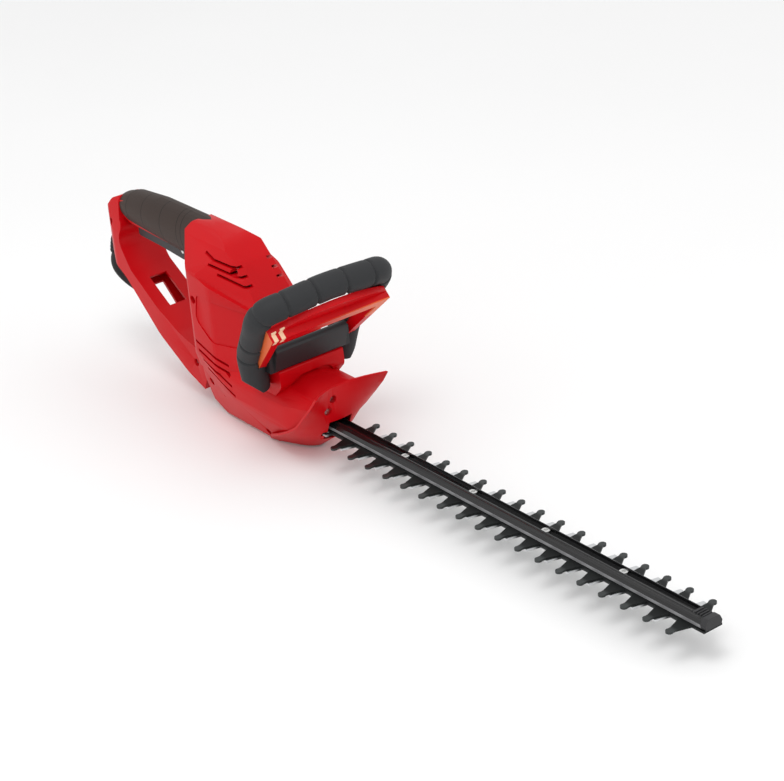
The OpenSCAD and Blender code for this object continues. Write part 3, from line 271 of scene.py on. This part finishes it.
# %% Blade finishes
def blade(name, colour, bright, from_y):
    """Blackened steel that is bright beyond from_y metres on either side of the middle."""
    f = Finish(name, 0.38, 0.85)
    x, y, _z = f.axes()
    marks = f.noise(0.0012, 4.0, (6, 1, 1))
    edge = (y.absolute() + marks * 0.002).ramp(from_y, from_y + 0.004)
    f.feed("Base Color", f.blend(edge, tuple(colour), bright))
    f.feed("Roughness", 0.48 - edge * 0.2 + marks * 0.1)
    f.bump(marks, 0.12, 0.0002)
    return f


comb_finish = blade("blackened comb", (0.018, 0.02, 0.02), (0.05, 0.055, 0.055), 0.022)
knife_finish = blade("ground knife", (0.06, 0.063, 0.065), (0.62, 0.63, 0.64), 0.013)
strip_finish = metal("clamp strip steel", (0.32, 0.33, 0.33), 0.4, 0.001, (0.1, 1, 1))

rail = Finish("gloss black rail", 0.2, coat=0.25, coat_rough=0.1, shine=0.3)
rail_y, rail_z = rail.axes()[1:]
band = rail_z.between(0.0315, 0.0345) * (rail_y.absolute() > 0.0078)
smear = rail.noise(0.02, 3.0, (0.3, 1, 1))
rail.feed("Base Color", rail.blend(band * (smear * 0.6 + 0.4), (0.006, 0.006, 0.0065), (0.32, 0.32, 0.33)))
rail.feed("Roughness", 0.14 + smear * 0.12 + band * 0.15)
rail.bump(rail.noise(0.0012), 0.06, 0.0002)
FINISHES.update(comb_steel=comb_finish, blade_steel=strip_finish, rail_black=rail)
print("blade finishes done")

# %% [markdown]
# ## Soft grips
# The rear grip is a brown-grey overmould with thin cross seams; its top is painted darker as
# painted shade. The front loop is charcoal, with real grooves that come from its mesh.

# %% Grip finishes
def soft_grip(name, colour, seams, lean):
    """Matt soft rubber, with thin dark seams at the given X places, in metres."""
    f = Finish(name, 0.6, shine=0.22)
    x, _y, z = f.axes()
    slow, fine = f.noise(0.03), f.noise(0.0005, 2.0)
    line = 0.0
    for place in seams:
        line = line + ((x + (z - 0.17) * lean - place).absolute() < 0.0005)
    # painted shade: the top of the grip is blended towards a darker brown
    painted_shade_top = z.ramp(0.172, 0.188)
    body = f.blend(slow, tuple(c * 0.85 for c in colour), colour)
    shaded = f.blend(painted_shade_top * 0.45, body, tuple(c * 0.5 for c in colour))
    f.feed("Base Color", f.blend(line, shaded, tuple(c * 0.25 for c in colour)) if seams else body)
    f.feed("Roughness", 0.52 + slow * 0.1 + fine * 0.08)
    f.bump(fine - line * 4.0 if seams else fine, 0.25, 0.0003)
    return f


FINISHES["grip_rubber"] = soft_grip("brown soft grip", (0.050, 0.033, 0.027), [-0.375, -0.345, -0.310, -0.280, -0.272], 0.25)
FINISHES["handle_plastic"] = soft_grip("charcoal loop grip", (0.030, 0.031, 0.033), [], 0)
print("grips done")

# %% [markdown]
# ## The switch bar's painted highlights
# The bar is red like the shell. Its outer side faces are painted orange as a painted highlight,
# its lower front edge fades from red to orange as a painted highlight, and two short cream
# stripes mark one corner. The masks are worked out in the bar's own leaning directions: along its lean, and out of the
# loop.

# %% Switch bar finish
LEAN = math.radians(44.2)
bar_pivot = at(-85, 0, 62)
bar = Finish("switch bar plastic", 0.34, shine=0.18)
bx, by, bz = bar.axes()
rise = (bx - bar_pivot.x) * math.cos(LEAN) + (bz - bar_pivot.z) * math.sin(LEAN)
outward = (bx - bar_pivot.x) * math.sin(LEAN) - (bz - bar_pivot.z) * math.cos(LEAN)
# painted highlight: orange on the bar's outer side faces and along its lower front edge
side = bar.normal_axes()[1].absolute() > 0.55
outer = side * (by.absolute() > rise * 0.15 + 0.048)
front_edge_highlight = (outward > 0.0054) * (rise > 0.05) * by.ramp(-0.02, 0.05)
stripes = (by.between(-0.0645, -0.060) + by.between(-0.0565, -0.052)) * (outward > -0.002) * (rise > 0.074)
red = bar.blend(bar.noise(0.035), (0.52, 0.0004, 0.004), (0.60, 0.0004, 0.004))
# painted highlight: the red is blended towards orange on the side faces and the front edge
with_painted_highlight = bar.blend(outer * 0.9 + front_edge_highlight * 0.8, red, (0.80, 0.16, 0.045))
bar.feed("Base Color", bar.blend(stripes, with_painted_highlight, (0.90, 0.60, 0.40)))
bar.feed("Roughness", 0.32 + bar.noise(0.001) * 0.06)
bar.bump(bar.noise(0.0009, 2.0), 0.08)
print("switch bar finish done")

# %% [markdown]
# ## The cord first
# The pigtail leaves the strain relief at the rear cap, falls straight to the floor and
# lies alongside the tool to its plug. It is a curve with round thickness: a curve keeps
# its own centre line, which is what gives a cord its true length.

# %% Smooth a rough path
def smooth_path(points, steps):
    """The points joined by one smooth curve, as points close together."""
    p = [2 * points[0] - points[1], *points, 2 * points[-1] - points[-2]]
    made = []
    for a, b, c, d in zip(p, p[1:], p[2:], p[3:]):
        for k in range(steps):
            t = k / steps
            made.append(0.5 * (2 * b + (c - a) * t + (2 * a - 5 * b + 4 * c - d) * t * t
                               + (3 * b - a - 3 * c + d) * t ** 3))
    return [*made, points[-1]]


def length_of(points):
    return sum((b - a).length for a, b in zip(points, points[1:]))


def tube(name, points, radius, radii=None, resolution=8):
    """A round curve through the points."""
    data = bpy.data.curves.new(name, "CURVE")
    data.dimensions = "3D"
    data.bevel_depth, data.bevel_resolution, data.use_fill_caps = radius, resolution, True
    line = data.splines.new("POLY")
    line.points.add(len(points) - 1)
    for i, (target, p) in enumerate(zip(line.points, points)):
        target.co = (*p, 1)
        target.radius = radii[i] if radii else 1
    made = bpy.data.objects.new(name, data)
    scene.collection.objects.link(made)
    return made


# %% Lay the cord
CORD_D = 0.008
FLOOR_Z = 4 - 30
cord_points = [at(*p) for p in (
    (-406, 0, 74), (-412, 0, 64), (-416, 2, 54), (-417, 6, 44), (-415, 13, 33), (-409, 22, 22), (-400, 32, 10),
    (-389, 42, -2), (-376, 51, -13), (-361, 58, -21), (-344, 64, -25.3), (-326, 70, FLOOR_Z),
    (-307, 76, FLOOR_Z), (-286, 81, FLOOR_Z), (-264, 85, FLOOR_Z), (-242, 88, FLOOR_Z))]
cord_line = smooth_path(cord_points, 3)
cord = tube("mains_lead", cord_line, CORD_D / 2)
cord.data.materials.append(FINISHES["black_rubber"].material)
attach(cord, "housing")
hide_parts("mains_cord")
length_of(cord_line)
print("cord length", round(length_of(cord_line), 4), "m")

# %% [markdown]
# ## Softened copies
# A solid from a drawing has knife-sharp edges, and no moulding does. A copy of the node has
# its doubles merged and its flat triangles joined, and then a narrow bevel on its corners
# catches a thin line of light. The node itself is left alone and hidden.

# %% Soften a node
def softened(node, body, slot, width, finish=None, angle=28, segments=2):
    """A copy of a frame piece with small rounded edges, standing for it."""
    source = frame["nodes"][node]
    mesh = bmesh.new()
    mesh.from_mesh(source.data)
    bmesh.ops.remove_doubles(mesh, verts=mesh.verts, dist=2e-6)
    bmesh.ops.dissolve_degenerate(mesh, edges=mesh.edges, dist=1e-6)
    bmesh.ops.dissolve_limit(mesh, angle_limit=math.radians(0.6), verts=mesh.verts, edges=mesh.edges)
    data = bpy.data.meshes.new(node + "_soft")
    mesh.to_mesh(data)
    mesh.free()
    data.shade_smooth()
    data.set_sharp_from_angle(angle=math.radians(35))
    piece = bpy.data.objects.new(node + "_soft", data)
    scene.collection.objects.link(piece)
    edge = piece.modifiers.new("edges", "BEVEL")
    edge.width, edge.segments, edge.limit_method, edge.angle_limit = width, segments, "ANGLE", math.radians(angle)
    edge.use_clamp_overlap, edge.harden_normals, edge.miter_outer = True, True, "MITER_ARC"
    data.materials.append((finish or FINISHES[slot]).material)
    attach(piece, body)
    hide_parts(node)
    print(f"{node}: {len(data.polygons)} faces")
    return piece


softened("housing_left", "housing", "red_shell", 0.0007)
softened("housing_right", "housing", "red_shell", 0.0007)
softened("front_cover", "housing", "red_shell", 0.0008)
softened("switch_bar", "switch_bar", "red_shell", 0.0010, bar)
softened("handle_crossbar", "housing", "black_plastic", 0.0008)
softened("rear_trigger", "trigger", "black_plastic", 0.0009)
softened("guide_rail", "housing", "rail_black", 0.0004)
softened("comb", "housing", "comb_steel", 0.0003)
softened("knife", "knife", "blade_steel", 0.0003, knife_finish)
softened("tip_cap", "housing", "black_plastic", 0.0004)
softened("rear_grip_cover", "housing", "grip_rubber", 0.0008, angle=40)

# %% [markdown]
# ## The front loop
# The loop is a round rubber tube with shallow grooves where the hand parts its fingers. It
# starts as a curve whose thickness dips at each groove, becomes a mesh, and then the
# switch bar's seat, with room for its travel, is cut from it as it is in the frame.

# %% Path and grooves of the loop
half = [(-85.5, 49.5, 43), (-84, 50.5, 52), (-78.5, 56.5, 78.5), (-66, 60.5, 97), (-53, 64, 114.5), (-41, 67.5, 130),
        (-33, 63, 139.5), (-28.5, 48, 143), (-27, 17, 145.5)]
loop_points = [at(*p) for p in half] + [at(-27, 0, 146)] + [at(x, -y, z) for x, y, z in reversed(half)]
loop_line = smooth_path(loop_points, 40)
GROOVE_DEEP, GROOVE_HALF = 0.13, 0.0014
run_so_far, travelled = [0.0], 0.0
for a, b in zip(loop_line, loop_line[1:]):
    travelled += (b - a).length
    run_so_far.append(travelled)


def run_at(test):
    """Distances along the loop at which the given test of a point changes sign."""
    values = [test(p) for p in loop_line]
    return [run_so_far[i] for i in range(len(values) - 1) if values[i] * values[i + 1] < 0]


grooves = []
for y in (0.0167, 0.0476):
    grooves += run_at(lambda p: p.y - y) + run_at(lambda p: p.y + y)
for z in (82, 100, 136):
    grooves += run_at(lambda p: p.z - (z + 30) * MM)
loop_radii = [1 - GROOVE_DEEP * math.exp(-min((s - g) ** 2 for g in grooves) / GROOVE_HALF ** 2) for s in run_so_far]
print(len(grooves), "grooves along", round(travelled, 3), "m")


# %% Cut the bar's seat from the loop
def as_mesh(curve):
    """Turns a curve object into a mesh object of the same name."""
    bpy.context.view_layer.update()
    data = bpy.data.meshes.new_from_object(curve.evaluated_get(bpy.context.evaluated_depsgraph_get()))
    name = curve.name
    bpy.data.objects.remove(curve)
    made = bpy.data.objects.new(name, data)
    scene.collection.objects.link(made)
    return made


def cutter(name, outline, low, high):
    """A prism on an outline in the bar's directions: across, up its lean, and outwards."""
    mesh = bmesh.new()
    up_lean = Vector((math.cos(LEAN), 0, math.sin(LEAN)))
    out = Vector((math.sin(LEAN), 0, -math.cos(LEAN)))
    ring = [mesh.verts.new(bar_pivot + Vector((0, x, 0)) * MM + up_lean * y * MM + out * low * MM) for x, y in outline]
    face = mesh.faces.new(ring)
    grown = bmesh.ops.extrude_face_region(mesh, geom=[face])
    moved = [g for g in grown["geom"] if isinstance(g, bmesh.types.BMVert)]
    bmesh.ops.translate(mesh, verts=moved, vec=out * (high - low) * MM)
    bmesh.ops.recalc_face_normals(mesh, faces=mesh.faces)
    data = bpy.data.meshes.new(name)
    mesh.to_mesh(data)
    mesh.free()
    made = bpy.data.objects.new(name, data)
    scene.collection.objects.link(made)
    return made


ROOM, TRAVEL, HALF_T = 1.0, 4.3, 6.5
FOOT_W, TOP_W, BAR_TOP, ARCH = 51.3, 67.0, 81.5, 17.0
inner_top = BAR_TOP - 11.5 - ROOM
left_foot = [(-FOOT_W - ROOM, -5 - ROOM), (-FOOT_W + 8.3 + ROOM, -5 - ROOM), (-TOP_W + 11 + ROOM, inner_top)]
right_foot = [(-x, y) for x, y in reversed(left_foot)]
flat_top = [(TOP_W + ROOM, BAR_TOP + ROOM), (-TOP_W - ROOM, BAR_TOP + ROOM)]
steps = [1 - k / 6 for k in range(1, 12)]
arched_top = [flat_top[0], *[(u * (TOP_W + ROOM), BAR_TOP + ROOM + ARCH * (1 - u * u)) for u in steps], flat_top[1]]
seats = [cutter("seat_flat", left_foot + right_foot + flat_top, -HALF_T - TRAVEL, HALF_T),
         cutter("seat_arch", left_foot + right_foot + arched_top, -HALF_T - TRAVEL, 6 - HALF_T)]
loop = as_mesh(tube("front_loop", loop_line, 0.013, loop_radii, 14))
for seat in seats:
    cut = loop.modifiers.new("seat", "BOOLEAN")
    cut.operation, cut.object, cut.solver = "DIFFERENCE", seat, "EXACT"
bpy.context.view_layer.update()
loop_data = bpy.data.meshes.new_from_object(loop.evaluated_get(bpy.context.evaluated_depsgraph_get()))
loop.modifiers.clear()
loop.data = loop_data
for seat in seats:
    bpy.data.objects.remove(seat)
print("loop faces", len(loop_data.polygons))

# %% Trim the loop's feet and finish it
mesh = bmesh.new()
mesh.from_mesh(loop.data)
for s in (-1, 1):
    # the cheek of the saddle, then the foot's outer corner
    bmesh.ops.bisect_plane(mesh, geom=[*mesh.verts, *mesh.edges, *mesh.faces], dist=1e-6,
                           plane_co=at(-85, s * 66, 56), plane_no=Vector((0, s * 1, -1)).normalized(), clear_outer=True)
    rim = [e for e in mesh.edges if e.is_boundary]
    if rim:
        bmesh.ops.holes_fill(mesh, edges=rim, sides=0)
bmesh.ops.remove_doubles(mesh, verts=mesh.verts, dist=2e-6)
bmesh.ops.recalc_face_normals(mesh, faces=mesh.faces)
mesh.to_mesh(loop.data)
mesh.free()
loop.data.shade_smooth()
loop.data.set_sharp_from_angle(angle=math.radians(40))
loop.data.materials.clear()
loop.data.materials.append(FINISHES["handle_plastic"].material)
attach(loop, "housing")
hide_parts("handle_loop")
print("loop done")

# %% [markdown]
# ## Finishes for the pieces that stay
# Every remaining node keeps its exact shape and takes the finish of its material slot from
# the record, so that a slot always means one thing.

# %% Give each node its slot's finish
slots = {part["node"]: part["material_slot"] for part in frame["record"]["subparts"]}
for node, shape in frame["nodes"].items():
    shape.data.materials.clear()
    shape.data.materials.append(FINISHES[slots[node]].material)
print("nodes finished:", len(slots))

# %% [markdown]
# ## Floor and light
# A pale floor and a bright surround give the soft, nearly shadowless light of a product
# picture. One large lamp above adds shape and a second fills the near side.

# %% Floor
plane = bmesh.new()
bmesh.ops.create_grid(plane, x_segments=1, y_segments=1, size=15)
floor_data = bpy.data.meshes.new("floor")
plane.to_mesh(floor_data)
plane.free()
floor = bpy.data.objects.new("floor", floor_data)
scene.collection.objects.link(floor)
pale = Finish("pale floor", 0.9)
pale.feed("Base Color", pale.blend(pale.noise(0.6), (0.86, 0.86, 0.86), (0.9, 0.9, 0.9)))
floor_data.materials.append(pale.material)

# %% Lamps and surround
world = bpy.data.worlds.new("surround")
scene.world = world
world.use_nodes = True
world.node_tree.nodes["Background"].inputs["Color"].default_value = (1, 1, 1, 1)
world.node_tree.nodes["Background"].inputs["Strength"].default_value = 0.95


def lamp(name, place, size, power):
    data = bpy.data.lights.new(name, "AREA")
    data.size, data.energy = size, power
    made = bpy.data.objects.new(name, data)
    scene.collection.objects.link(made)
    made.location = place
    made.rotation_mode = "QUATERNION"
    made.rotation_quaternion = (at(-60, 0, 60) - Vector(place)).to_track_quat("-Z", "Y")


lamp("key", (0.4, -0.5, 1.9), 0.9, 10)
lamp("fill", (1.6, 0.9, 1.1), 1.0, 2)
lamp("near", (-0.9, -1.6, 0.9), 1.0, 2)
print("lamps placed")
